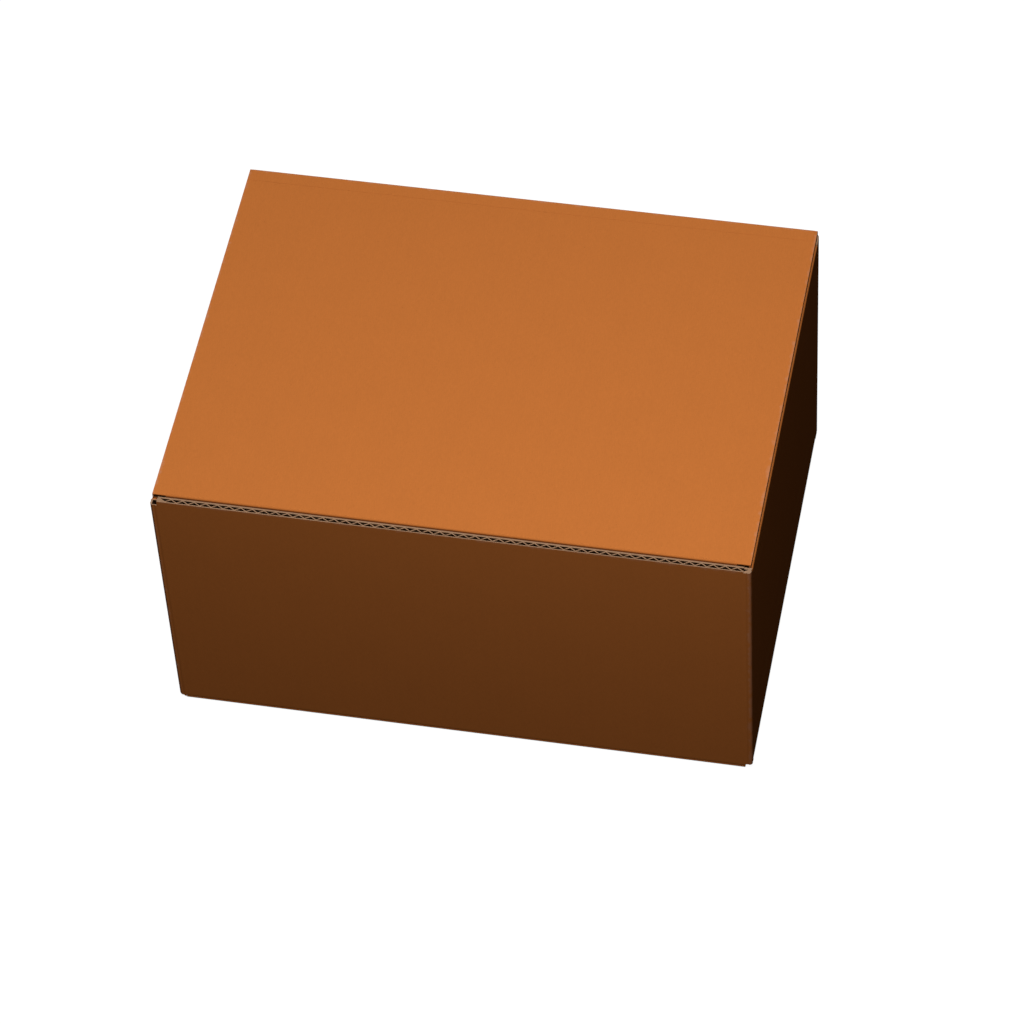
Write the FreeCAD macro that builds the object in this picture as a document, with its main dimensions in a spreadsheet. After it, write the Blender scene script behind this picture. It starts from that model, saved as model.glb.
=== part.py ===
"""Closed corrugated-board box with a hinged tuck-in lid.

The box is folded from one die-cut sheet: four walls, two dust flaps, four bottom flaps and a
glue flap. The lid is the panel that folds over from the back wall, with a flap that tucks in
behind the front wall. Millimetres, +Z up, +X to the right and -Y to the front, with the origin
at the middle of the underside.
"""
import FreeCAD, Part
import os
import re
import Sketcher

# Driving dimensions
SIZES = {
    "width": 400,            # outside, left to right
    "depth": 302,            # outside, front to back
    "tall": 215,             # outside, floor to the top of the lid
    "board": 4.5,            # thickness of the corrugated board
    "bend": 2.2,             # outer radius of the folds
    "front_drop": 1.0,       # front wall's cut edge below the top of the lid
    "corner_drop": 1.0,      # top of the front right corner below the front wall's cut edge
    "end_flute": 5.4,        # middle of the last flute in from the right wall's outer face
    "rim_gap": 0.3,          # air between the lid and the flaps it rests on
    "lid_inset": 1.0,        # lid's side edges inside the outer faces of the side walls
    "corner_slot": 5.0,      # flap folds stop this far short of each corner
    "bottom_seam": 1.5,      # slit where the two outer bottom flaps meet
    "tuck_gap": 1.0,         # tuck flap behind the front wall
    "tuck_crease": 1.2,      # outer radius of the sharp fold above the tuck flap
    "tuck_depth": 45,        # length of the tuck flap
    "tuck_inset": 10,        # tuck flap's side edges in from the outer side faces
    "tuck_lean": 5,          # degrees that the tuck flap leans into the box
    "tuck_round": 20,        # rounding of the tuck flap's free corners
    "lid_ear": 9,            # length of the lid's square corners beside the tuck flap
    "dust_length": 100,      # dust flaps, from the side wall's outer face
    "dust_clear": 4.5,       # dust flap behind the tuck flap
    "dust_side_gap": 1.5,    # dust flap beside the tuck flap
    "dust_taper": 8,         # narrowing of each dust flap towards its free end
    "dust_round": 12,        # rounding of the dust flap's free corners
    "glue_width": 35,        # glue flap, from the left wall's outer face
    "glue_taper": 12,        # sloping ends of the glue flap
    "glue_end_gap": 2.5,     # glue flap clear of the flaps above and below it
    "seam_set": 2.0,         # back wall's free edge in from the left wall's outer face
    "flute_pitch": 7.84,     # distance from one flute of the board to the next
    "outer_liner": 0.7,      # paper on the outer face
    "inner_liner": 1.2,      # paper and pressed flute tips on the inner face
    "medium": 0.5,           # fluted paper between the liners
    "flute_depth": 10,       # how far the open flutes are hollow behind a cut edge
}

# Places worked out from the driving dimensions
RIM = "(tall - board - rim_gap)"
FRONT_TOP = "(tall - front_drop)"
FRONT = "(-depth / 2)"
BACK = "(depth / 2)"
RIGHT = "(width / 2)"
LEFT = "(-width / 2)"
SIDE_FRONT = "(depth / 2 - corner_slot)"
SIDE_BACK = "(depth / 2 - board - corner_slot)"
BOTTOM_FLAP = "((depth - bottom_seam) / 2)"
DUST_END = "(width / 2 - dust_length)"
TUCK_FRONT = "(-depth / 2 + board + tuck_gap)"
TUCK_HALF = "(width / 2 - tuck_inset)"
LID_HALF = "(width / 2 - lid_inset)"
LEAN = "(tuck_lean * 1deg)"

doc = FreeCAD.newDocument("TuckLidBox")
sheet = doc.addObject("Spreadsheet::Sheet", "dims")
for row, (alias, value) in enumerate(SIZES.items(), start=1):
    sheet.set(f"A{row}", str(value))
    sheet.setAlias(f"A{row}", alias)
doc.recompute()


def bound(text):
    """Expression text with every size name pointed at its cell in the sheet."""
    return re.sub(r"[a-z_]+", lambda word: f"dims.{word[0]}" if word[0] in SIZES else word[0], text)


def number(text):
    """Present value of an expression."""
    return float(sheet.evalExpression(text))


def new_body(label):
    """Empty body that becomes one folded piece of board."""
    body = doc.addObject("PartDesign::Body", label)
    body.Label = label
    return body


def datum(body, role):
    """One of the body's own origin planes or axes."""
    return [item for item in body.Origin.OriginFeatures if item.Role == role][0]


def new_sketch(body, name, plane, lift="0"):
    """Empty sketch on an origin plane, moved along the plane's normal."""
    sketch = body.newObject("Sketcher::SketchObject", name)
    sketch.AttachmentSupport = (datum(body, plane), [""])
    sketch.MapMode = "FlatFace"
    sketch.setExpression("AttachmentOffset.Base.z", bound(lift))
    return sketch


def pin_point(sketch, edge, end, place):
    """Hold one end of a sketch edge at a place given by two expressions."""
    for kind, text in zip(("DistanceX", "DistanceY"), place):
        held = sketch.addConstraint(Sketcher.Constraint(kind, -1, 1, edge, end, number(text)))
        sketch.setExpression(f"Constraints[{held}]", bound(text))


def beside(corner, other, radius):
    """Point where a rounding of a square corner meets the side that runs to the other corner."""
    step_x = number(other[0]) - number(corner[0])
    step_y = number(other[1]) - number(corner[1])
    if abs(step_x) > abs(step_y):
        return (f"{corner[0]} {'+' if step_x > 0 else '-'} {radius}", corner[1])
    return (corner[0], f"{corner[1]} {'+' if step_y > 0 else '-'} {radius}")


def outline(sketch, corners):
    """Closed line through corners (x, y), or (x, y, radius) where a square corner is a bend."""
    stations = []
    for index, corner in enumerate(corners):
        if len(corner) == 2:
            stations.append((corner, None, None))
            continue
        start = beside(corner, corners[index - 1], corner[2])
        end = beside(corner, corners[(index + 1) % len(corners)], corner[2])
        stations.append((start, end, corner))
    for index, (start, end, bend) in enumerate(stations):
        leave = end or start
        arrive = stations[(index + 1) % len(stations)][0]
        if bend:
            turn_from, turn_to, apex = (
                FreeCAD.Vector(number(place[0]), number(place[1]), 0) for place in (start, end, bend))
            centre = turn_from + turn_to - apex
            middle = centre + (apex - centre).normalize() * (turn_from - centre).Length
            arc = Part.Arc(turn_from, middle, turn_to)
            edge = sketch.addGeometry(arc, False)
            radius = sketch.addConstraint(Sketcher.Constraint("Radius", edge, number(bend[2])))
            sketch.setExpression(f"Constraints[{radius}]", bound(bend[2]))
            head, tail = (1, 2) if sketch.getPoint(edge, 1).distanceToPoint(turn_from) < 1e-6 else (2, 1)
            pin_point(sketch, edge, head, start)
            pin_point(sketch, edge, tail, end)
        line = Part.LineSegment(
            FreeCAD.Vector(number(leave[0]), number(leave[1]), 0),
            FreeCAD.Vector(number(arrive[0]), number(arrive[1]), 0))
        edge = sketch.addGeometry(line, False)
        pin_point(sketch, edge, 1, leave)
        pin_point(sketch, edge, 2, arrive)


def finish(body, feature):
    """Make a feature the body's last one and work it out."""
    body.Tip = feature
    doc.recompute()
    return feature


def pad(body, name, plane, corners, length, lift="0", symmetric=False, second=None):
    """Board added by extruding an outline; second is a length the other way."""
    sketch = new_sketch(body, f"{name}_outline", plane, lift)
    outline(sketch, corners)
    feature = body.newObject("PartDesign::Pad", name)
    feature.Profile = sketch
    if symmetric:
        feature.SideType = "Symmetric"
    if second:
        feature.SideType = "Two sides"
        feature.setExpression("Length2", bound(second))
    feature.setExpression("Length", bound(length))
    return finish(body, feature)


def pocket(body, name, sketch, length, inward=False):
    """Board cut away under a sketch, or above it where inward is set."""
    before = body.Shape.Volume
    feature = body.newObject("PartDesign::Pocket", name)
    feature.Profile = sketch
    feature.Reversed = inward
    feature.setExpression("Length", bound(length))
    finish(body, feature)
    if body.Shape.Volume >= before:
        raise RuntimeError(f"{name} cuts nothing")
    return feature


def mirror(body, name, features):
    """The same features on the left of the box."""
    feature = body.newObject("PartDesign::Mirrored", name)
    feature.Originals = features
    feature.MirrorPlane = (datum(body, "YZ_Plane"), [""])
    return finish(body, feature)


def round_edges(body, name, radius, chosen):
    """Rounding of the body's edges whose middle and direction are chosen."""
    names = []
    for index, edge in enumerate(body.Shape.Edges, start=1):
        middle = edge.valueAt((edge.FirstParameter + edge.LastParameter) / 2)
        direction = edge.tangentAt(edge.FirstParameter)
        if chosen(middle, direction):
            names.append(f"Edge{index}")
    if not names:
        raise RuntimeError(f"{name} finds no edge")
    base = body.Tip
    feature = body.newObject("PartDesign::Fillet", name)
    feature.Base = (base, names)
    feature.setExpression("Radius", bound(radius))
    return finish(body, feature)


def flute_gap(sketch, middle, near, near_liner, far, far_liner):
    """One gap of the fluted board, wide at the near face of the board and pointed at the far one."""
    into = "+" if number(far) > number(near) else "-"
    back = "-" if into == "+" else "+"
    base = f"({near} {into} {near_liner})"
    outline(sketch, [
        (f"({middle} - flute_pitch / 2 + medium)", base),
        (f"({middle} + flute_pitch / 2 - medium)", base),
        (middle, f"({far} {back} ({far_liner} + medium))"),
    ])


def outer_gap(sketch, middle, outer, inner):
    """Gap that is wide at the outer liner."""
    flute_gap(sketch, middle, outer, "outer_liner", inner, "inner_liner")


def inner_gap(sketch, middle, outer, inner):
    """Gap that is wide at the inner liner."""
    flute_gap(sketch, middle, inner, "inner_liner", outer, "outer_liner")


def flute_gaps(sketch, start, outer, inner):
    """The two gaps of one flute; start is where the flute begins along the sketch's x direction."""
    outer_gap(sketch, f"({start} + flute_pitch / 2)", outer, inner)
    inner_gap(sketch, f"({start} + flute_pitch)", outer, inner)


def flute_count(span):
    """How many whole flutes fit into a span of cut edge."""
    return f"floor({span} / flute_pitch - 0.5)"


def flute_start(span):
    """Where the first flute begins, so that the row is centred."""
    return f"(-({flute_count(span)} + 0.5) * flute_pitch / 2)"


def row_of(body, name, cut, axis, span, mirrored=False):
    """The gaps of one flute repeated along a cut edge, and on the left too where mirrored."""
    before = body.Shape.Volume
    kind = "PartDesign::LinearPattern"
    if mirrored:
        feature = body.newObject("PartDesign::MultiTransform", name)
        feature.Originals = [cut]
        row = body.newObject(kind, f"{name}_row")
        twin = body.newObject("PartDesign::Mirrored", f"{name}_twin")
        twin.MirrorPlane = (datum(body, "YZ_Plane"), [""])
        feature.Transformations = [row, twin]
    else:
        feature = body.newObject(kind, name)
        feature.Originals = [cut]
        row = feature
    row.Direction = (datum(body, axis), [""])
    row.Mode = "Spacing"
    row.setExpression("Offset", bound("flute_pitch"))
    row.setExpression("Occurrences", bound(flute_count(span)))
    finish(body, feature)
    if body.Shape.Volume >= before:
        raise RuntimeError(f"{name} repeats nothing")
    return feature


def front_panel(body):
    """Front wall with its bottom flap, one bend at the floor."""
    return pad(body, "front_panel", "YZ_Plane", [
        (FRONT, FRONT_TOP),
        (FRONT, "0", "bend"),
        ("(-bottom_seam / 2)", "0"),
        ("(-bottom_seam / 2)", "board"),
        (f"({FRONT} + board)", "board"),
        (f"({FRONT} + board)", FRONT_TOP),
    ], "width - 2 * corner_slot", symmetric=True)


def back_panel(body):
    """Back wall with its bottom flap; its top stops under the bend of the lid."""
    return pad(body, "back_panel", "YZ_Plane", [
        (BACK, RIM),
        (BACK, "0", "bend"),
        ("(bottom_seam / 2)", "0"),
        ("(bottom_seam / 2)", "board"),
        (f"({BACK} - board)", "board"),
        (f"({BACK} - board)", RIM),
    ], "width - 2 * corner_slot", symmetric=True)


def side_panel(body):
    """Right wall with its dust flap at the top and its bottom flap, which lies on the outer ones."""
    return pad(body, "side_panel", "XZ_Plane", [
        (DUST_END, RIM),
        (RIGHT, RIM, "bend"),
        (RIGHT, "board", "bend"),
        (f"({RIGHT} - {BOTTOM_FLAP})", "board"),
        (f"({RIGHT} - {BOTTOM_FLAP})", "(2 * board)"),
        (f"({RIGHT} - board)", "(2 * board)"),
        (f"({RIGHT} - board)", f"({RIM} - board)"),
        (DUST_END, f"({RIM} - board)"),
    ], SIDE_FRONT, second=SIDE_BACK)


def corner_bend(body, name, edge_y, into, side_reach, low="board", high=RIM):
    """Upright bend at a right-hand corner, between the slots that free the flap folds."""
    return pad(body, name, "XY_Plane", [
        (f"({RIGHT} - corner_slot - board)", edge_y),
        (RIGHT, edge_y, "bend"),
        (RIGHT, f"({edge_y} {into} {side_reach})"),
        (f"({RIGHT} - board)", f"({edge_y} {into} {side_reach})"),
        (f"({RIGHT} - board)", f"({edge_y} {into} board)"),
        (f"({RIGHT} - corner_slot - board)", f"({edge_y} {into} board)"),
    ], f"{high} - {low}", lift=low)


def glued_corner(body):
    """Back-left corner: the left wall bends behind the back wall's free edge as the glue flap."""
    pad(body, "seam_bend", "XY_Plane", [
        (LEFT, SIDE_BACK),
        (LEFT, f"({BACK} - board)", "bend"),
        (f"({LEFT} + corner_slot + board)", f"({BACK} - board)"),
        (f"({LEFT} + corner_slot + board)", f"({BACK} - 2 * board)"),
        (f"({LEFT} + board)", f"({BACK} - 2 * board)"),
        (f"({LEFT} + board)", SIDE_BACK),
    ], f"{RIM} - board", lift="board")
    pad(body, "seam_edge", "XY_Plane", [
        (f"({LEFT} + seam_set)", f"({BACK} - board)"),
        (f"({LEFT} + seam_set)", BACK),
        (f"({LEFT} + corner_slot + board)", BACK),
        (f"({LEFT} + corner_slot + board)", f"({BACK} - board)"),
    ], f"{RIM} - board", lift="board")
    low = "(2 * board + glue_end_gap)"
    high = f"({RIM} - board - glue_end_gap)"
    return pad(body, "glue_flap", "XZ_Plane", [
        (f"({LEFT} + board)", low),
        (f"({LEFT} + glue_width)", f"({low} + glue_taper)"),
        (f"({LEFT} + glue_width)", f"({high} - glue_taper)"),
        (f"({LEFT} + board)", high),
    ], "board", lift=f"(board - {BACK})")


def dust_trims(body):
    """Sloping edges of the right-hand dust flap, clear of the tuck flap's path at the front."""
    clear_y = f"({FRONT} + 2 * board + tuck_gap + dust_clear)"
    front = new_sketch(body, "dust_front_outline", "XY_Plane", RIM)
    outline(front, [
        (f"({RIGHT} - board)", f"(-{SIDE_FRONT})"),
        (f"({TUCK_HALF} + dust_side_gap)", clear_y),
        (DUST_END, f"({clear_y} + dust_taper)"),
        (DUST_END, f"(-{SIDE_FRONT})"),
    ])
    back = new_sketch(body, "dust_back_outline", "XY_Plane", RIM)
    outline(back, [
        (f"({RIGHT} - board)", SIDE_BACK),
        (DUST_END, f"({SIDE_BACK} - dust_taper)"),
        (DUST_END, SIDE_BACK),
    ])
    return [pocket(body, "dust_front_trim", front, "board"), pocket(body, "dust_back_trim", back, "board")]


def dust_corner(middle, direction):
    """True for the upright edges at the free corners of the dust flaps."""
    upright = abs(direction.z) > 0.99
    at_end = abs(abs(middle.x) - number(DUST_END)) < 0.01
    return upright and at_end and middle.z > number(RIM) - number("board")


def make_box_body():
    """The folded sheet without its lid."""
    body = new_body("box_body")
    front_panel(body)
    front_corner = corner_bend(body, "front_corner", FRONT, "+", "corner_slot")
    mirror(body, "front_corner_left", [front_corner])
    corner_bend(body, "front_corner_top", FRONT, "+", "corner_slot", RIM, f"({FRONT_TOP} - corner_drop)")
    side = side_panel(body)
    mirror(body, "side_panel_left", [side])
    corner_bend(body, "back_corner", BACK, "-", "(board + corner_slot)")
    back_panel(body)
    glued_corner(body)
    mirror(body, "dust_trims_left", dust_trims(body))
    round_edges(body, "dust_corners", "dust_round", dust_corner)

    front_span = "(width - 2 * corner_slot)"
    front_start = f"({RIGHT} - end_flute - {flute_count(front_span)} * flute_pitch)"
    end_cut = new_sketch(body, "front_end_outline", "XY_Plane", FRONT_TOP)
    inner_gap(end_cut, front_start, FRONT, f"({FRONT} + board)")
    pocket(body, "front_end_flute", end_cut, "flute_depth")
    front_cut = new_sketch(body, "front_flute_outline", "XY_Plane", FRONT_TOP)
    flute_gaps(front_cut, front_start, FRONT, f"({FRONT} + board)")
    first = pocket(body, "front_flute", front_cut, "flute_depth")
    row_of(body, "front_flutes", first, "X_Axis", front_span)

    clear_y = f"({FRONT} + 2 * board + tuck_gap + dust_clear + dust_taper + dust_round)"
    end_y = f"({SIDE_BACK} - dust_taper - dust_round)"
    dust_span = f"({end_y} - {clear_y})"
    dust_start = f"(({end_y} + {clear_y}) / 2 + {flute_start(dust_span)})"
    dust_cut = new_sketch(body, "dust_flute_outline", "YZ_Plane", DUST_END)
    flute_gaps(dust_cut, dust_start, RIM, f"({RIM} - board)")
    first = pocket(body, "dust_flute", dust_cut, "flute_depth", inward=True)
    row_of(body, "dust_flutes", first, "Y_Axis", dust_span, mirrored=True)
    return body


def tuck_fold(middle, direction):
    """True for the fold between the lid's panel and the tuck flap."""
    along = abs(direction.x) > 0.99
    return along and abs(middle.z - number("tall")) < 0.01 and abs(middle.y - number(TUCK_FRONT)) < 0.01


def tuck_corner(middle, direction):
    """True for the edges through the board at the free corners of the tuck flap."""
    return abs(direction.y) > 0.9 and middle.z < number("tall - tuck_depth + board")


def make_lid():
    """Top panel hinged on the back wall, with the tuck flap at its front."""
    body = new_body("lid")
    seat = f"({TUCK_FRONT} + lid_ear)"
    under = "(tall - board)"
    tip_y = f"({TUCK_FRONT} + tuck_depth * sin({LEAN}))"
    tip_z = f"(tall - tuck_depth * cos({LEAN}))"
    pad(body, "tuck_flap", "YZ_Plane", [
        (seat, under),
        (seat, "tall"),
        (TUCK_FRONT, "tall"),
        (tip_y, tip_z),
        (f"({tip_y} + board * cos({LEAN}))", f"({tip_z} + board * sin({LEAN}))"),
        (f"({TUCK_FRONT} + board * ((1 + sin({LEAN})) * tan({LEAN}) + cos({LEAN})))", under),
    ], f"2 * {TUCK_HALF}", symmetric=True)
    round_edges(body, "tuck_fold", "tuck_crease", tuck_fold)
    pad(body, "top_panel", "YZ_Plane", [
        (seat, under),
        (seat, "tall"),
        (BACK, "tall", "bend"),
        (BACK, under),
    ], f"2 * {LID_HALF}", symmetric=True)
    ear = pad(body, "lid_ear", "XY_Plane", [
        (TUCK_HALF, TUCK_FRONT),
        (LID_HALF, TUCK_FRONT),
        (LID_HALF, seat),
        (TUCK_HALF, seat),
    ], "board", lift=under)
    mirror(body, "lid_ear_left", [ear])
    round_edges(body, "tuck_corners", "tuck_round", tuck_corner)

    tuck_span = f"(2 * ({TUCK_HALF} - tuck_round))"
    tuck_cut = new_sketch(body, "tuck_flute_outline", "XY_Plane")
    tuck_cut.AttachmentOffset = FreeCAD.Placement(
        FreeCAD.Vector(0, 0, 0), FreeCAD.Rotation(FreeCAD.Vector(1, 0, 0), number("tuck_lean")))
    tuck_cut.setExpression("AttachmentOffset.Rotation.Angle", bound("tuck_lean * 1deg"))
    tuck_cut.setExpression("AttachmentOffset.Base.y", bound(tip_y))
    tuck_cut.setExpression("AttachmentOffset.Base.z", bound(tip_z))
    flute_gaps(tuck_cut, flute_start(tuck_span), "0", "board")
    first = pocket(body, "tuck_flute", tuck_cut, "flute_depth", inward=True)
    row_of(body, "tuck_flutes", first, "X_Axis", tuck_span)
    return body


pieces = [make_box_body(), make_lid()]
doc.recompute()
for item in doc.Objects:
    if "Invalid" in item.State or "Error" in item.State:
        raise RuntimeError(f"{item.Label} failed: {item.State}")
os.makedirs("parts", exist_ok=True)
for piece in pieces:
    if piece.Shape.isNull() or not piece.Shape.isValid() or len(piece.Shape.Solids) != 1:
        raise RuntimeError(f"{piece.Label} is not one sound solid")
    piece.Shape.exportStep(f"parts/{piece.Label}.step")
    print(piece.Label, "volume", round(piece.Shape.Volume), "faces", len(piece.Shape.Faces))
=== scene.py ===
import math

import bmesh
import bpy
from mathutils import Matrix, Vector


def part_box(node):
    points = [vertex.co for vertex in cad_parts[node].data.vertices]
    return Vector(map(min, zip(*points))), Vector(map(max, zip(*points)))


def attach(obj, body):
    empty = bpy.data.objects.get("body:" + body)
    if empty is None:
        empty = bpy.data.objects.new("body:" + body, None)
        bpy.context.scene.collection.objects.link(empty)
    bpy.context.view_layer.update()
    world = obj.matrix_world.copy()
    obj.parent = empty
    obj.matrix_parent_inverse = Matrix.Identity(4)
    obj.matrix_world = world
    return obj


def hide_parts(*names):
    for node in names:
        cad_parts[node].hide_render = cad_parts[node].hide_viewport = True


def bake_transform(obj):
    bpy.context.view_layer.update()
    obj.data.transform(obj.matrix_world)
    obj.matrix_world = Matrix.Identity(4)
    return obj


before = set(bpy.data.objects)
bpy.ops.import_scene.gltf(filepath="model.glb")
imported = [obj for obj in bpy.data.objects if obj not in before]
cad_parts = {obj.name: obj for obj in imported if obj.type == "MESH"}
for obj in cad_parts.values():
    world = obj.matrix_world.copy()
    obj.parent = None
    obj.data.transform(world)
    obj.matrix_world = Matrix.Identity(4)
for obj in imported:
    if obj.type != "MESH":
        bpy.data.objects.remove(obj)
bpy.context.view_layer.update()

# The box sheet.
# One die-cut sheet of single-wall corrugated board: four walls, a glue flap, two dust flaps and
# four bottom flaps. It is creased at every fold, folded up, and glued at the back left corner.
BOARD = 0.0045
BEND = 0.0022
OUTER_LINER = 0.0007
INNER_LINER = 0.0012
FLUTE_PITCH = 0.00784
FLUTE_DEPTH = 0.010
CORNER_SLOT = 0.005
RIM_GAP = 0.0003
DUST_END = 0.100
SEAM_SET = 0.002
CREASE_WIDTH = 0.0014
CREASE_DEPTH = 0.0003
CREASE_CLEAR = 0.0001
CREASE_INSET = BEND + CREASE_WIDTH / 2 + CREASE_CLEAR
SLOT_DEPTH = 0.003
SLOT_END = 0.001
POST_TRIM = OUTER_LINER / 2
BEND_CLEAR = OUTER_LINER / 4
FOOT_SLANT = 0.0028
CLOSE = 0.00002
PAST = 2 * CLOSE
MERGE = 0.000002
KRAFT = (0.530, 0.163, 0.036, 1)
KRAFT_INSIDE = (0.480, 0.185, 0.060, 1)
RAW_PAPER = (0.330, 0.195, 0.115, 1)
# The open flutes' paper is painted shade: much darker than the raw paper, and darker still deeper in.
HOLLOW_PAPER_IN_SHADE = (0.100, 0.045, 0.018, 1)
HOLLOW_PAINTED_SHADE = (0.016, 0.007, 0.003, 1)

body_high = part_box("box_body")[1]
lid_low, lid_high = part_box("lid")
HALF_WIDTH = body_high.x
HALF_DEPTH = body_high.y
FRONT_TOP = body_high.z
LID_TOP = lid_high.z
LID_UNDER = LID_TOP - BOARD
RIM = LID_UNDER - RIM_GAP
SIDE_FRONT = -HALF_DEPTH + CORNER_SLOT
SIDE_BACK = HALF_DEPTH - BOARD - CORNER_SLOT
POST_FRONT = -HALF_DEPTH + OUTER_LINER
POST_BACK = SIDE_FRONT - OUTER_LINER
POST_LEFT = -HALF_WIDTH + 2 * OUTER_LINER
POST_RIGHT = -HALF_WIDTH + CORNER_SLOT - POST_TRIM
X_AXIS, Y_AXIS, Z_AXIS = range(3)
FLAT_ANGLE = math.radians(0.3)


def select_only(piece):
    """Deselects everything, then selects and activates one piece."""
    bpy.ops.object.select_all(action="DESELECT")
    piece.select_set(True)
    bpy.context.view_layer.objects.active = piece


def merged_copy(node, name):
    """New piece with a node's mesh, its loose triangles merged and its flat faces made whole."""
    piece = bpy.data.objects.new(name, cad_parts[node].data.copy())
    bpy.context.scene.collection.objects.link(piece)
    piece.data.materials.clear()
    select_only(piece)
    bpy.ops.object.mode_set(mode="EDIT")
    bpy.ops.mesh.select_all(action="SELECT")
    bpy.ops.mesh.remove_doubles(threshold=MERGE)
    bpy.ops.mesh.dissolve_limited(angle_limit=FLAT_ANGLE)
    bpy.ops.object.mode_set(mode="OBJECT")
    return piece


def near(value, *places):
    """True where a coordinate lies on one of the given planes."""
    return any(abs(value - place) < CLOSE for place in places)


def between(value, low, high):
    """True where a coordinate lies from one plane to another, or on either."""
    return low - CLOSE < value < high + CLOSE


def score(piece, axis, *places):
    """Cuts the mesh along planes square to an axis, without taking anything away."""
    select_only(piece)
    bpy.ops.object.mode_set(mode="EDIT")
    across = [float(axis == index) for index in range(3)]
    for place in places:
        bpy.ops.mesh.select_all(action="SELECT")
        bpy.ops.mesh.bisect(plane_co=[part * place for part in across], plane_no=across)
    bpy.ops.object.mode_set(mode="OBJECT")


def score_crease(piece, axis, *places):
    """Cuts the two edges and the middle of each crease."""
    for place in places:
        score(piece, axis, place - CREASE_WIDTH / 2, place, place + CREASE_WIDTH / 2)


def press_crease(piece, axis, place, face_axis, face, inward, low=-1.0, high=1.0, span=Z_AXIS,
                 crease_depth=CREASE_DEPTH):
    """Pushes the middle of a scored crease into a flat face, as the creasing rule does."""
    for corner in piece.data.vertices:
        here = corner.co
        if near(here[axis], place) and near(here[face_axis], face) and low < here[span] < high:
            corner.co[face_axis] += inward * crease_depth


def press_foot(piece):
    """Presses the left front foot round, as wear has left it in the photograph."""
    for corner in piece.data.vertices:
        here = corner.co
        from_corner = here.x + HALF_WIDTH
        if near(here.z, BOARD) and here.y < SIDE_FRONT - CLOSE and from_corner < CORNER_SLOT - CLOSE:
            corner.co.z -= FOOT_SLANT * from_corner / CORNER_SLOT


def open_slot(piece, chosen, shift):
    """Sinks the chosen faces of a cut edge, to leave the hollow between the two liners."""
    select_only(piece)
    bpy.ops.object.mode_set(mode="EDIT")
    bpy.ops.mesh.select_mode(type="FACE")
    bpy.ops.mesh.select_all(action="DESELECT")
    shape = bmesh.from_edit_mesh(piece.data)
    for face in shape.faces:
        face.select_set(chosen(face.calc_center_median(), face.normal))
    bmesh.update_edit_mesh(piece.data)
    bpy.ops.mesh.extrude_region_move(TRANSFORM_OT_translate={"value": shift})
    bpy.ops.mesh.select_mode(type="VERT")
    bpy.ops.object.mode_set(mode="OBJECT")


def add(tree, kind, inputs=None, **settings):
    """One shader node with its settings, and its inputs as values or as another node's output."""
    item = tree.nodes.new(kind)
    for name, value in settings.items():
        setattr(item, name, value)
    for name, value in (inputs or {}).items():
        if isinstance(value, bpy.types.NodeSocket):
            tree.links.new(value, item.inputs[name])
        else:
            item.inputs[name].default_value = value
    return item


def calc(tree, operation, first, second=0.0, third=0.0):
    """Output of one math node."""
    values = {0: first, 1: second, 2: third}
    return add(tree, "ShaderNodeMath", values, operation=operation).outputs[0]


def ramp(tree, value, start, full, low=0.0, high=1.0):
    """Output that goes from one level to another while a value goes from start to full."""
    return add(tree, "ShaderNodeMapRange", {
        "Value": value, "From Min": start, "From Max": full, "To Min": low, "To Max": high}).outputs[0]


def new_group(name, inputs, outputs):
    """Empty shader group with named sockets, and its input and output nodes."""
    group = bpy.data.node_groups.new(name, "ShaderNodeTree")
    for label, kind in inputs:
        group.interface.new_socket(label, in_out="INPUT", socket_type="NodeSocket" + kind)
    for label, kind in outputs:
        group.interface.new_socket(label, in_out="OUTPUT", socket_type="NodeSocket" + kind)
    return group, group.nodes.new("NodeGroupInput"), group.nodes.new("NodeGroupOutput")


FIBRE_LAYERS = ((0.14, (2600, 260, 1)), (-0.42, (300, 2100, 1)), (0.9, (1500, 240, 1)))
FIBRE_DETAIL = 2.0
CLOUD_SCALE = 34.0
CLOUD_DETAIL = 5.0
CLOUD_ROUGHNESS = 0.6
SPECK_SCALE = 900.0
SPECK_DETAIL = 1.0
SPECK_START = 0.70
SPECK_FULL = 0.78
NOISE_MIDDLE = 0.5
FIBRE_SHADE = 0.13
CLOUD_SHADE = 0.07
RIB_SHADE = 0.004
SPECK_SHADE = -0.16
PAPER_ROUGHNESS = 0.85
FIBRE_ROUGHNESS = 0.2
FIBRE_HEIGHT = 0.000005
RIB_HEIGHT = 0.00001
CLOUD_HEIGHT = 0.00004


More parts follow.
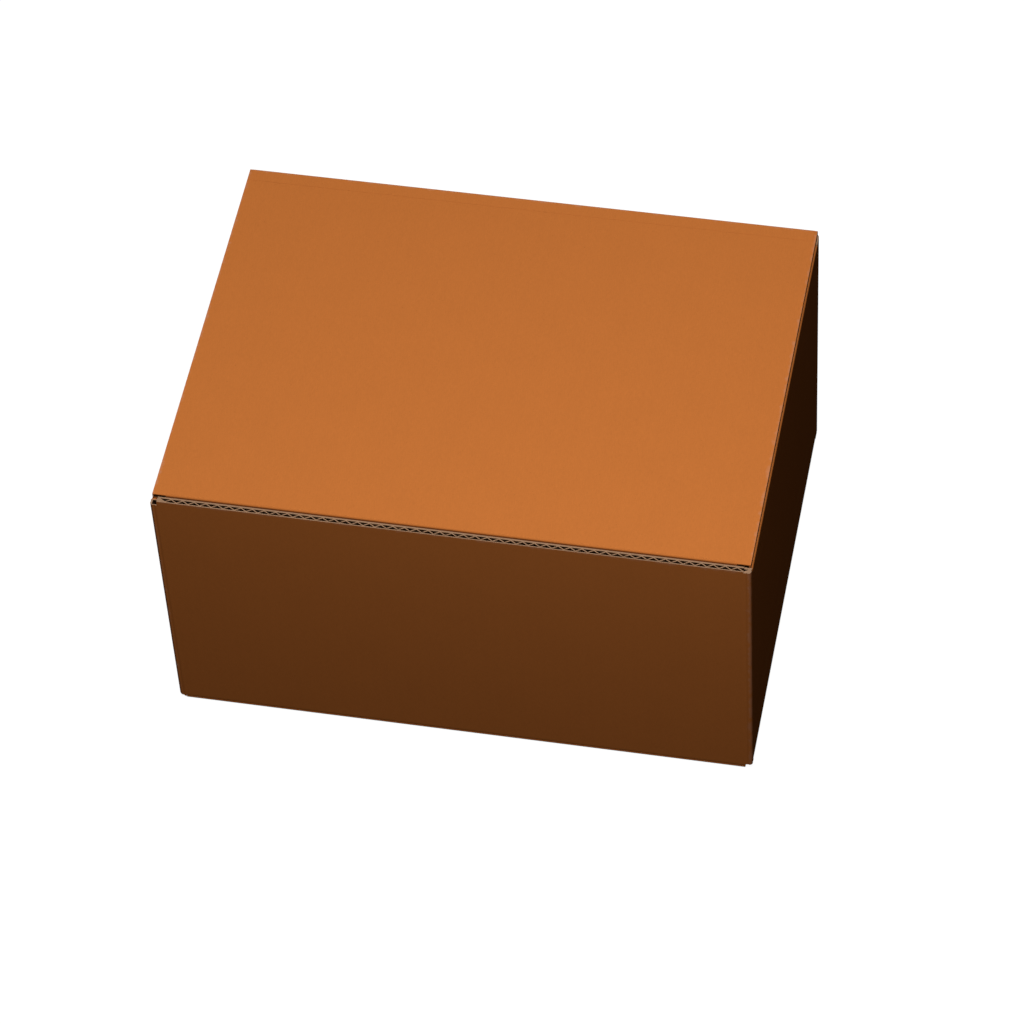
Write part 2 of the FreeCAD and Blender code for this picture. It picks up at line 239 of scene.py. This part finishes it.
def build_kraft_group():
    """Uncoated kraft liner: long fibres, cloudy pulp, dark specks and the faint ribs of the flutes."""
    tree, start, end = new_group(
        "kraft_liner",
        [("Place", "Vector"), ("Tone", "Color"), ("Fibre", "Float"), ("Ribs", "Float")],
        [("Color", "Color"), ("Roughness", "Float"), ("Height", "Float")])
    place = start.outputs["Place"]
    fibre = 0.0
    for turn, scale in FIBRE_LAYERS:
        laid = add(tree, "ShaderNodeMapping", {
            "Vector": place, "Rotation": (0, 0, turn), "Scale": scale})
        noise = add(tree, "ShaderNodeTexNoise", {
            "Vector": laid.outputs[0], "Scale": 1.0, "Detail": FIBRE_DETAIL})
        fibre = calc(tree, "ADD", fibre, calc(tree, "SUBTRACT", noise.outputs["Fac"], NOISE_MIDDLE))
    fibre = calc(tree, "MULTIPLY", fibre, start.outputs["Fibre"])
    cloud = add(tree, "ShaderNodeTexNoise", {
        "Vector": place, "Scale": CLOUD_SCALE, "Detail": CLOUD_DETAIL, "Roughness": CLOUD_ROUGHNESS})
    cloud = calc(tree, "SUBTRACT", cloud.outputs["Fac"], NOISE_MIDDLE)
    speck = add(tree, "ShaderNodeTexNoise", {
        "Vector": place, "Scale": SPECK_SCALE, "Detail": SPECK_DETAIL})
    speck = ramp(tree, speck.outputs["Fac"], SPECK_START, SPECK_FULL)
    apart = add(tree, "ShaderNodeSeparateXYZ", {0: place})
    ribs = calc(tree, "COSINE", calc(tree, "MULTIPLY", apart.outputs["X"], math.tau / FLUTE_PITCH))
    ribs = calc(tree, "MULTIPLY", ribs, start.outputs["Ribs"])
    shade = calc(tree, "MULTIPLY_ADD", fibre, FIBRE_SHADE, 1.0)
    shade = calc(tree, "MULTIPLY_ADD", cloud, CLOUD_SHADE, shade)
    shade = calc(tree, "MULTIPLY_ADD", ribs, RIB_SHADE, shade)
    shade = calc(tree, "MULTIPLY_ADD", speck, SPECK_SHADE, shade)
    tinted = add(
        tree, "ShaderNodeVectorMath", {0: start.outputs["Tone"], "Scale": shade}, operation="SCALE")
    tree.links.new(tinted.outputs[0], end.inputs["Color"])
    roughness = calc(tree, "MULTIPLY_ADD", fibre, FIBRE_ROUGHNESS, PAPER_ROUGHNESS)
    tree.links.new(roughness, end.inputs["Roughness"])
    height = calc(tree, "MULTIPLY", fibre, FIBRE_HEIGHT)
    height = calc(tree, "MULTIPLY_ADD", ribs, RIB_HEIGHT, height)
    height = calc(tree, "MULTIPLY_ADD", cloud, CLOUD_HEIGHT, height)
    tree.links.new(height, end.inputs["Height"])
    return tree


PATCH_SCALE = 190.0
PATCH_DETAIL = 4.0
PATCH_ROUGHNESS = 0.65
RUB_REACH = 0.009
RUB_LEAST = -0.0032
RUB_FADE = 0.0012
RUB_FULL = -0.0005
# Width of the painted shade along each crease.
CREASE_SHADE_REACH = 0.6 * CREASE_WIDTH


def build_fold_group():
    """Wear of the box's folds, rubbed, paler fibres in patches along them, and painted shade that darkens
    the creases.
    """
    tree, start, end = new_group(
        "rubbed_folds_and_crease_shade", [("Place", "Vector")], [("Rubbed", "Float"), ("Crease Shade", "Float")])
    apart = add(tree, "ShaderNodeSeparateXYZ", {0: start.outputs["Place"]})
    side = calc(tree, "SUBTRACT", HALF_WIDTH, calc(tree, "ABSOLUTE", apart.outputs["X"]))
    face = calc(tree, "SUBTRACT", HALF_DEPTH, calc(tree, "ABSOLUTE", apart.outputs["Y"]))
    top = calc(tree, "MINIMUM", apart.outputs["Z"], calc(tree, "SUBTRACT", LID_TOP, apart.outputs["Z"]))
    total = calc(tree, "ADD", calc(tree, "ADD", side, face), top)
    least = calc(tree, "MINIMUM", calc(tree, "MINIMUM", side, face), top)
    most = calc(tree, "MAXIMUM", calc(tree, "MAXIMUM", side, face), top)
    edge = calc(tree, "SUBTRACT", calc(tree, "SUBTRACT", total, least), most)
    patches = add(tree, "ShaderNodeTexNoise", {
        "Vector": start.outputs["Place"], "Scale": PATCH_SCALE,
        "Detail": PATCH_DETAIL, "Roughness": PATCH_ROUGHNESS}).outputs["Fac"]
    reach = calc(tree, "MULTIPLY_ADD", patches, RUB_REACH, RUB_LEAST)
    rubbed = ramp(tree, calc(tree, "SUBTRACT", edge, reach), RUB_FADE, RUB_FULL)
    # The crease mask places painted shade along the crease lines.
    upright = calc(tree, "MAXIMUM", side, face)
    from_crease = calc(tree, "ABSOLUTE", calc(tree, "SUBTRACT", upright, CREASE_INSET))
    tree.links.new(rubbed, end.inputs["Rubbed"])
    tree.links.new(ramp(tree, from_crease, CREASE_SHADE_REACH, 0.0), end.inputs["Crease Shade"])
    return tree


kraft_group = build_kraft_group()
fold_group = build_fold_group()


def blend_colour(tree, amount, first, second):
    """Output of one colour mix."""
    mix = add(tree, "ShaderNodeMix", data_type="RGBA", blend_type="MIX")
    sockets = {item.identifier: item for item in mix.inputs}
    for socket, value in (("Factor_Float", amount), ("A_Color", first), ("B_Color", second)):
        if isinstance(value, bpy.types.NodeSocket):
            tree.links.new(value, sockets[socket])
        else:
            sockets[socket].default_value = value
    return [item for item in mix.outputs if item.identifier == "Result_Color"][0]


RUBBED_KEEP = 0.80
RUBBED_LIFT = 0.14
# Painted shade in the creases: its tone and how much of it shows.
CREASE_SHADE_TONE = 0.72
CREASE_SHADE_AMOUNT = 0.35
BUMP_STRENGTH = 0.5


def paper_material(name, tone, fibre, ribs, wear_and_crease_shade):
    """Matt kraft paper on the sheet's own paper map; where a wear amount is given, rubbed at the folds and
    darkened in the creases by painted shade.
    """
    material = bpy.data.materials.new(name)
    material.use_nodes = True
    tree = material.node_tree
    shader = tree.nodes["Principled BSDF"]
    shader.inputs["Specular IOR Level"].default_value = 0.0
    paper_map = add(tree, "ShaderNodeUVMap", uv_map="paper_map")
    kraft = add(tree, "ShaderNodeGroup", node_tree=kraft_group)
    tree.links.new(paper_map.outputs[0], kraft.inputs["Place"])
    kraft.inputs["Tone"].default_value = tone
    kraft.inputs["Fibre"].default_value = fibre
    kraft.inputs["Ribs"].default_value = ribs
    colour = kraft.outputs["Color"]
    if wear_and_crease_shade:
        place = add(tree, "ShaderNodeTexCoord").outputs["Object"]
        folds = add(tree, "ShaderNodeGroup", node_tree=fold_group)
        tree.links.new(place, folds.inputs["Place"])
        pale = tuple(RUBBED_KEEP * part + RUBBED_LIFT for part in tone[:3]) + (1,)
        colour = blend_colour(tree, calc(tree, "MULTIPLY", folds.outputs["Rubbed"], wear_and_crease_shade), colour, pale)
        # Painted shade darkens the paper along the crease lines.
        shaded_crease_tone = tuple(CREASE_SHADE_TONE * part for part in tone[:3]) + (1,)
        crease_shade_amount = calc(tree, "MULTIPLY", folds.outputs["Crease Shade"], CREASE_SHADE_AMOUNT)
        colour = blend_colour(tree, crease_shade_amount, colour, shaded_crease_tone)
    bump = add(tree, "ShaderNodeBump", {
        "Height": kraft.outputs["Height"], "Strength": BUMP_STRENGTH, "Distance": 1.0})
    tree.links.new(colour, shader.inputs["Base Color"])
    tree.links.new(kraft.outputs["Roughness"], shader.inputs["Roughness"])
    tree.links.new(bump.outputs[0], shader.inputs["Normal"])
    return material


HOLLOW_FIBRE = 1.5
DAYLIGHT_DEPTH = 0.0015


def hollow_material():
    """Walls of the open flutes, painted with shade: dark paper that darkens further behind the cut edge."""
    material = bpy.data.materials.new("open_flutes_painted_shade")
    material.use_nodes = True
    tree = material.node_tree
    shader = tree.nodes["Principled BSDF"]
    shader.inputs["Specular IOR Level"].default_value = 0.0
    paper_map = add(tree, "ShaderNodeUVMap", uv_map="paper_map")
    apart = add(tree, "ShaderNodeSeparateXYZ", {0: paper_map.outputs[0]})
    kraft = add(tree, "ShaderNodeGroup", node_tree=kraft_group)
    tree.links.new(paper_map.outputs[0], kraft.inputs["Place"])
    kraft.inputs["Tone"].default_value = HOLLOW_PAPER_IN_SHADE
    kraft.inputs["Fibre"].default_value = HOLLOW_FIBRE
    kraft.inputs["Ribs"].default_value = 0.0
    # Painted shade deepens with the distance behind the cut edge.
    dark = ramp(tree, apart.outputs["Y"], 0.0, DAYLIGHT_DEPTH)
    colour = blend_colour(tree, dark, kraft.outputs["Color"], HOLLOW_PAINTED_SHADE)
    tree.links.new(colour, shader.inputs["Base Color"])
    tree.links.new(kraft.outputs["Roughness"], shader.inputs["Roughness"])
    return material


SHEET_FINISHES = (
    paper_material("kraft_liner_outside", KRAFT, fibre=1.0, ribs=1.0, wear_and_crease_shade=0.35),
    paper_material("kraft_liner_inside", KRAFT_INSIDE, fibre=1.2, ribs=1.6, wear_and_crease_shade=0.0),
    paper_material("raw_cut_edge", RAW_PAPER, fibre=2.2, ribs=0.0, wear_and_crease_shade=0.0),
    hollow_material(),
)
OUTSIDE, INSIDE, RAW, HOLLOW = range(4)
SQUARE_ON = 0.98
LEANING = 0.3
UPRIGHT_LIMIT = 0.7


def dress(piece, chooser):
    """Gives every face its paper, and lays the paper map in metres.

    The map's first direction runs across the flutes and its second along them. In a hollow the
    second is the distance behind the cut edge.
    """
    for finish in SHEET_FINISHES:
        piece.data.materials.append(finish)
    shape = bmesh.new()
    shape.from_mesh(piece.data)
    paper_map = shape.loops.layers.uv.new("paper_map")
    for face in shape.faces:
        paper, across, depth = chooser(face.calc_center_median(), face.normal)
        face.material_index = paper
        upright = abs(face.normal.z) < UPRIGHT_LIMIT
        for loop in face.loops:
            here = loop.vert.co
            along = here.z if upright else here[Y_AXIS if across == X_AXIS else X_AXIS]
            loop[paper_map].uv = (here[across], depth(here) if depth else along)
    shape.to_mesh(piece.data)
    shape.free()


def below_front_edge(here):
    """Distance below the front wall's cut edge."""
    return FRONT_TOP - here.z


def behind_dust_end(here):
    """Distance behind a dust flap's free end."""
    return abs(here.x) - DUST_END


def below_post(here):
    """Distance below the cut top of the front left corner."""
    return RIM - here.z


def in_hollow(centre, normal):
    """Which cut edge a face of the box sheet lies behind, as the depth to measure by, or None."""
    x, y, z = centre
    if HALF_DEPTH - BOARD < -y < HALF_DEPTH and between(z, FRONT_TOP - FLUTE_DEPTH, FRONT_TOP - PAST):
        inside = between(y, -HALF_DEPTH + OUTER_LINER, -HALF_DEPTH + BOARD - INNER_LINER)
        from_bend = math.hypot(abs(x) - HALF_WIDTH + BEND, y + HALF_DEPTH - BEND)
        on_bend = abs(x) > HALF_WIDTH - BEND and from_bend > BEND - BEND_CLEAR
        if inside and not on_bend and (near(z, FRONT_TOP - FLUTE_DEPTH) or abs(normal.y) > LEANING):
            return below_front_edge
    if between(z, RIM - SLOT_DEPTH, RIM - PAST) and between(y, POST_FRONT, POST_BACK):
        if between(x, POST_LEFT, POST_RIGHT):
            return below_post
    if between(abs(x), DUST_END + PAST, DUST_END + FLUTE_DEPTH) and SIDE_FRONT < y < SIDE_BACK:
        if between(z, RIM - BOARD + INNER_LINER, RIM - OUTER_LINER):
            return behind_dust_end
    return None


def in_seam_slot(centre):
    """True for a face between the liners of the back wall's free edge."""
    along = centre.x + HALF_WIDTH - SEAM_SET
    through = HALF_DEPTH - centre.y
    return between(along, PAST, SLOT_DEPTH) and between(through, OUTER_LINER, BOARD - INNER_LINER)


def sheet_face(centre, normal):
    """Paper of a face of the box sheet, the axis across its flutes, and its depth in a hollow."""
    x, y, z = centre
    hollow = in_hollow(centre, normal)
    if hollow:
        return HOLLOW, X_AXIS, hollow
    if in_seam_slot(centre):
        return INSIDE, X_AXIS, None
    on_side = SIDE_FRONT < y < SIDE_BACK
    if abs(normal.x) > SQUARE_ON:
        if near(abs(x), HALF_WIDTH):
            return OUTSIDE, Y_AXIS, None
        if near(abs(x), HALF_WIDTH - BOARD):
            return INSIDE, Y_AXIS, None
        return RAW, Y_AXIS, None
    if abs(normal.y) > SQUARE_ON:
        if near(abs(y), HALF_DEPTH):
            return OUTSIDE, X_AXIS, None
        if near(abs(y), HALF_DEPTH - BOARD, HALF_DEPTH - 2 * BOARD):
            return INSIDE, X_AXIS, None
        return RAW, X_AXIS, None
    if abs(normal.z) > SQUARE_ON:
        if near(z, 0.0):
            return OUTSIDE, X_AXIS, None
        if near(z, RIM) and on_side:
            return OUTSIDE, Y_AXIS, None
        if near(z, RIM - BOARD, 2 * BOARD):
            return INSIDE, Y_AXIS, None
        if near(z, BOARD) and normal.z > 0:
            return INSIDE, X_AXIS, None
        if near(z, BOARD) and on_side:
            return OUTSIDE, Y_AXIS, None
        return RAW, X_AXIS, None
    beside_fold = abs(x) > HALF_WIDTH - BEND - CLOSE
    if z < BEND + CLOSE or beside_fold:
        return OUTSIDE, Y_AXIS if beside_fold and on_side else X_AXIS, None
    return RAW, X_AXIS, None


box_sheet = merged_copy("box_body", "box_sheet")
corner_line = HALF_WIDTH - CREASE_INSET
wall_line = HALF_DEPTH - CREASE_INSET
seam_line = HALF_DEPTH - BOARD - CREASE_INSET
floor_line = CREASE_INSET
side_floor_line = BOARD + CREASE_INSET
dust_line = RIM - CREASE_INSET
seam_edge = -HALF_WIDTH + SEAM_SET
score(box_sheet, Y_AXIS, HALF_DEPTH - BOARD + INNER_LINER, HALF_DEPTH - OUTER_LINER)
score(box_sheet, Z_AXIS, BOARD + SLOT_END, RIM - SLOT_END)
open_slot(
    box_sheet,
    lambda centre, normal: near(centre.x, seam_edge) and BOARD + SLOT_END < centre.z < RIM - SLOT_END
    and HALF_DEPTH - BOARD + INNER_LINER < centre.y < HALF_DEPTH - OUTER_LINER,
    (SLOT_DEPTH, 0, 0))
score(box_sheet, Y_AXIS, POST_FRONT, POST_BACK)
score(box_sheet, X_AXIS, POST_LEFT, POST_RIGHT)
open_slot(
    box_sheet,
    lambda centre, normal: near(centre.z, RIM) and POST_FRONT < centre.y < POST_BACK
    and POST_LEFT < centre.x < POST_RIGHT,
    (0, 0, -SLOT_DEPTH))
score(box_sheet, Y_AXIS, SIDE_FRONT, SIDE_BACK)
score_crease(box_sheet, X_AXIS, -corner_line, corner_line)
score_crease(box_sheet, Y_AXIS, -wall_line, seam_line, wall_line)
score_crease(box_sheet, Z_AXIS, floor_line, side_floor_line, dust_line)
dress(box_sheet, sheet_face)
for side in (-1, 1):
    press_crease(box_sheet, X_AXIS, side * corner_line, Y_AXIS, -HALF_DEPTH, 1)
    press_crease(box_sheet, X_AXIS, side * corner_line, Z_AXIS, RIM, -1, SIDE_FRONT, SIDE_BACK, Y_AXIS)
    press_crease(box_sheet, Y_AXIS, -wall_line, X_AXIS, side * HALF_WIDTH, -side)
    press_crease(box_sheet, Y_AXIS, side * wall_line, Z_AXIS, 0.0, 1)
    press_crease(box_sheet, Z_AXIS, floor_line, Y_AXIS, side * HALF_DEPTH, -side)
    for line in (side_floor_line, dust_line):
        press_crease(
            box_sheet, Z_AXIS, line, X_AXIS, side * HALF_WIDTH, -side, SIDE_FRONT, SIDE_BACK, Y_AXIS)
press_crease(box_sheet, X_AXIS, corner_line, Y_AXIS, HALF_DEPTH, -1)
press_crease(box_sheet, Y_AXIS, wall_line, X_AXIS, HALF_WIDTH, -1)
press_crease(box_sheet, Y_AXIS, seam_line, X_AXIS, -HALF_WIDTH, 1)
press_foot(box_sheet)

SMOOTH_ANGLE = math.radians(24)


def finish_shading(piece):
    """Smooths the rounded folds, and keeps the flat faces flat."""
    select_only(piece)
    bpy.ops.object.shade_smooth_by_angle(angle=SMOOTH_ANGLE)
    weighted = piece.modifiers.new("flat_faces", "WEIGHTED_NORMAL")
    weighted.keep_sharp = True
    bpy.ops.object.modifier_apply(modifier=weighted.name)


finish_shading(box_sheet)
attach(box_sheet, "box")
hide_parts("box_body")

# The lid.
# The top panel of the same sheet, creased along the back wall, with a flap folded down at the
# front that tucks in behind the front wall. The tuck alone keeps it shut.
TUCK_FRONT = lid_low.y
LID_HALF = lid_high.x
TUCK_LEAN = math.radians(5)
TUCK_DEPTH = 0.045
EAR_WIDTH = 0.010
EAR_START = HALF_WIDTH - EAR_WIDTH
EAR_SLOT_BACK = TUCK_FRONT + SLOT_DEPTH
LID_SLOT_FRONT = EAR_SLOT_BACK + SLOT_END
LID_SLOT_LOW = LID_UNDER + INNER_LINER
LID_SLOT_HIGH = LID_TOP - OUTER_LINER
LID_CREASE_DEPTH = 0.00005
SIDEWAYS = 0.1
FACING_DOWN = -0.9
THROUGH_TUCK = Vector((0, math.cos(TUCK_LEAN), math.sin(TUCK_LEAN)))


def behind_tuck_end(here):
    """Distance behind the tuck flap's free edge, along the leaning flap."""
    down = (LID_TOP - here.z) * math.cos(TUCK_LEAN) + (here.y - TUCK_FRONT) * math.sin(TUCK_LEAN)
    return TUCK_DEPTH - down


def behind_ear_front(here):
    """Distance behind the front edge of the lid's square corners."""
    return here.y - TUCK_FRONT


def lid_face(centre, normal):
    """Paper of a face of the lid, the axis across its flutes, and its depth in a hollow."""
    x, y, z = centre
    behind_end = behind_tuck_end(centre)
    thickness = (centre - Vector((0, TUCK_FRONT, LID_TOP))).dot(THROUGH_TUCK)
    between_liners = between(z, LID_SLOT_LOW, LID_SLOT_HIGH)
    if z < LID_TOP - TUCK_DEPTH + 2 * FLUTE_DEPTH and between(behind_end, PAST, FLUTE_DEPTH):
        if between(thickness, OUTER_LINER, BOARD - INNER_LINER) and abs(normal.dot(THROUGH_TUCK)) > LEANING:
            return HOLLOW, X_AXIS, behind_tuck_end
        if near(behind_end, FLUTE_DEPTH):
            return HOLLOW, X_AXIS, behind_tuck_end
    if between_liners and between(abs(x), LID_HALF - SLOT_DEPTH, LID_HALF - PAST):
        if EAR_SLOT_BACK + CLOSE < y < HALF_DEPTH - BEND:
            return INSIDE, X_AXIS, None
    if between_liners and between(y, TUCK_FRONT + PAST, EAR_SLOT_BACK):
        if EAR_START < abs(x) < LID_HALF - CLOSE:
            return HOLLOW, X_AXIS, behind_ear_front
    if abs(normal.x) > SIDEWAYS:
        return RAW, X_AXIS, None
    if near(z, LID_TOP):
        return OUTSIDE, X_AXIS, None
    if near(z, LID_UNDER) and normal.z < FACING_DOWN:
        return INSIDE, X_AXIS, None
    if y < TUCK_FRONT + 2 * BOARD:
        if behind_end < CLOSE:
            return RAW, X_AXIS, None
        if near(y, TUCK_FRONT) and near(z, (LID_TOP + LID_UNDER) / 2):
            return RAW, X_AXIS, None
        return OUTSIDE if normal.y < 0 else INSIDE, X_AXIS, None
    if y > HALF_DEPTH - BEND - CLOSE:
        return OUTSIDE, X_AXIS, None
    return RAW, X_AXIS, None


lid_panel = merged_copy("lid", "lid_panel")
fold_line = HALF_DEPTH - CREASE_INSET
score(lid_panel, Z_AXIS, LID_SLOT_LOW, LID_SLOT_HIGH)
score(lid_panel, Y_AXIS, LID_SLOT_FRONT)
score_crease(lid_panel, Y_AXIS, fold_line)
score(lid_panel, X_AXIS, -LID_HALF + SLOT_END, LID_HALF - SLOT_END)
for side in (-1, 1):
    open_slot(
        lid_panel,
        lambda centre, normal: near(centre.x, side * LID_HALF) and LID_SLOT_LOW < centre.z < LID_SLOT_HIGH
        and LID_SLOT_FRONT < centre.y < fold_line,
        (-side * SLOT_DEPTH, 0, 0))
open_slot(
    lid_panel,
    lambda centre, normal: near(centre.y, TUCK_FRONT) and LID_SLOT_LOW < centre.z < LID_SLOT_HIGH
    and EAR_START < abs(centre.x) < LID_HALF - SLOT_END,
    (0, SLOT_DEPTH, 0))
dress(lid_panel, lid_face)
press_crease(lid_panel, Y_AXIS, fold_line, Z_AXIS, LID_TOP, -1, crease_depth=LID_CREASE_DEPTH)
finish_shading(lid_panel)
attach(lid_panel, "lid")
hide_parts("lid")

# The lid's fold.
# The liner that runs over the crease from the back wall to the lid. It is the same paper.
LINER_PROUD = 0.00008
LINER_THICK = 0.0003
FOLD_HALF = 0.197
WALL_REACH = 0.2035
LID_REACH = 0.1400
FOLD_STEPS = 10
bpy.ops.object.select_all(action="DESELECT")
bpy.ops.mesh.primitive_plane_add(
    size=1, location=(0, HALF_DEPTH + LINER_PROUD, WALL_REACH), rotation=(math.pi / 2, 0, 0))
fold_liner = bpy.context.active_object
fold_liner.name = "fold_liner"
bpy.ops.object.transform_apply()
bpy.ops.object.mode_set(mode="EDIT")
bpy.ops.mesh.select_all(action="SELECT")
bpy.ops.mesh.delete(type="ONLY_FACE")
shape = bmesh.from_edit_mesh(fold_liner.data)
ends = sorted(shape.verts, key=lambda corner: corner.co.z)
bmesh.ops.delete(shape, geom=ends[2:], context="VERTS")
for corner in shape.verts:
    corner.co = (math.copysign(FOLD_HALF, corner.co.x), HALF_DEPTH + LINER_PROUD, WALL_REACH)
bmesh.update_edit_mesh(fold_liner.data)


def extend(shift):
    """Extrudes the liner's free end by a shift."""
    bpy.ops.mesh.extrude_region_move(TRANSFORM_OT_translate={"value": shift})


bpy.ops.mesh.select_all(action="SELECT")
for lift in (RIM - WALL_REACH, LID_TOP - BEND - RIM):
    extend((0, 0, lift))
radius = BEND + LINER_PROUD
for step in range(FOLD_STEPS):
    start, end = [math.pi / 2 * (step + index) / FOLD_STEPS for index in (0, 1)]
    inward = radius * (math.cos(end) - math.cos(start))
    upward = radius * (math.sin(end) - math.sin(start))
    extend((0, inward, upward))
extend((0, LID_REACH - (HALF_DEPTH - BEND), 0))
bpy.ops.object.mode_set(mode="OBJECT")
thick = fold_liner.modifiers.new("paper", "SOLIDIFY")
thick.thickness = LINER_THICK
thick.offset = 1
bpy.ops.object.modifier_apply(modifier=thick.name)
dress(fold_liner, lambda centre, normal: (OUTSIDE, X_AXIS, None))
finish_shading(fold_liner)
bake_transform(fold_liner)

# The floor.
# A plain pale surface that shows white to the camera and keeps a faint shadow under the box.
FLOOR_SIZE = 12.0
FLOOR_DROP = -0.0002
FLOOR_GLOW = 0.96
FLOOR_SHADE = 0.12
FLOOR_BOUNCE = 0.03
bpy.ops.object.select_all(action="DESELECT")
bpy.ops.mesh.primitive_plane_add(size=FLOOR_SIZE, location=(0, 0, FLOOR_DROP))
floor = bpy.context.active_object
floor.name = "studio_floor"


def white_to_camera(tree):
    """1 for the rays that show the background itself, and 0 for the light it sends to the box."""
    seen = add(tree, "ShaderNodeLightPath")
    shown = calc(tree, "MAXIMUM", seen.outputs["Is Camera Ray"], seen.outputs["Is Glossy Ray"])
    return calc(tree, "MAXIMUM", shown, seen.outputs["Is Transmission Ray"])


def grey(level):
    """Opaque grey of one level."""
    return (level, level, level, 1)


pale = bpy.data.materials.new("studio_floor")
pale.use_nodes = True
tree = pale.node_tree
tree.nodes.clear()
matt = add(tree, "ShaderNodeBsdfDiffuse", {"Color": grey(FLOOR_SHADE)})
glow = add(tree, "ShaderNodeEmission", {"Color": grey(1), "Strength": FLOOR_GLOW})
bright = add(tree, "ShaderNodeAddShader", {0: matt.outputs[0], 1: glow.outputs[0]})
dim = add(tree, "ShaderNodeBsdfDiffuse", {"Color": grey(FLOOR_BOUNCE)})
mixed = add(tree, "ShaderNodeMixShader", {
    0: white_to_camera(tree), 1: dim.outputs[0], 2: bright.outputs[0]})
add(tree, "ShaderNodeOutputMaterial", {"Surface": mixed.outputs[0]})
floor.data.materials.append(pale)

# The light.
# A sun from nearly overhead and a small lamp above the front leave the walls dark, as in the
# photograph. A low sun from behind on the left shows the back and the left wall in other views.
TOP_SUN = 1.25
TOP_SUN_PLACE = (0, 0, 3)
TOP_SUN_TILT = math.radians(5)
TOP_SUN_ANGLE = math.radians(4)
FILL_SUN = 1.1
FILL_SUN_PLACE = (-2, 2, 1)
FILL_SUN_ANGLE = math.radians(20)
FILL_HEIGHT = math.radians(12)
FILL_TURN = math.radians(45)
LAMP_PLACE = Vector((0.2, -0.55, 1.35))
LAMP_TARGET = Vector((0, 0, LID_TOP))
LAMP_POWER = 9.05
LAMP_SIZE = 0.25
bpy.ops.object.light_add(type="SUN", location=TOP_SUN_PLACE, rotation=(TOP_SUN_TILT, 0, 0))
top_sun = bpy.context.active_object
top_sun.name = "studio_top"
top_sun.data.energy = TOP_SUN
top_sun.data.angle = TOP_SUN_ANGLE
bpy.ops.object.light_add(
    type="SUN", location=FILL_SUN_PLACE, rotation=(FILL_HEIGHT - math.pi / 2, 0, FILL_TURN))
fill_sun = bpy.context.active_object
fill_sun.name = "studio_fill"
fill_sun.data.energy = FILL_SUN
fill_sun.data.angle = FILL_SUN_ANGLE
bpy.ops.object.light_add(type="AREA", location=LAMP_PLACE)
lamp = bpy.context.active_object
lamp.name = "studio_lamp"
lamp.data.energy = LAMP_POWER
lamp.data.size = LAMP_SIZE
lamp.rotation_euler = (LAMP_TARGET - LAMP_PLACE).to_track_quat("-Z", "Y").to_euler()

AIR_LIGHT = 0.02
world = bpy.data.worlds.new("studio_air")
bpy.context.scene.world = world
world.use_nodes = True
tree = world.node_tree
tree.nodes.clear()
strength = ramp(tree, white_to_camera(tree), 0.0, 1.0, AIR_LIGHT, 1.0)
air = add(tree, "ShaderNodeBackground", {"Color": grey(1), "Strength": strength})
add(tree, "ShaderNodeOutputWorld", {"Surface": air.outputs[0]})

# The camera.
# A long lens from the front, a little to the right and high above, turned slightly on its axis.
CAMERA_PLACE = (0.50864, -2.05602, 2.64421)
CAMERA_AZIMUTH = math.radians(13.692)
CAMERA_ELEVATION = math.radians(50.712)
CAMERA_ROLL = math.radians(-3.886)
CAMERA_LENS = 169.02
CAMERA_SENSOR = 36.0
CAMERA_REACH = 50.0
bpy.ops.object.camera_add(location=CAMERA_PLACE)
camera = bpy.context.active_object
camera.name = "studio_camera"
aim = Matrix.Rotation(CAMERA_AZIMUTH, 3, "Z") @ Matrix.Rotation(math.pi / 2 - CAMERA_ELEVATION, 3, "X")
camera.rotation_euler = (aim @ Matrix.Rotation(CAMERA_ROLL, 3, "Z")).to_euler()
camera.data.lens = CAMERA_LENS
camera.data.sensor_width = CAMERA_SENSOR
camera.data.clip_end = CAMERA_REACH
bpy.context.scene.camera = camera
bpy.context.scene.view_settings.view_transform = "Standard"
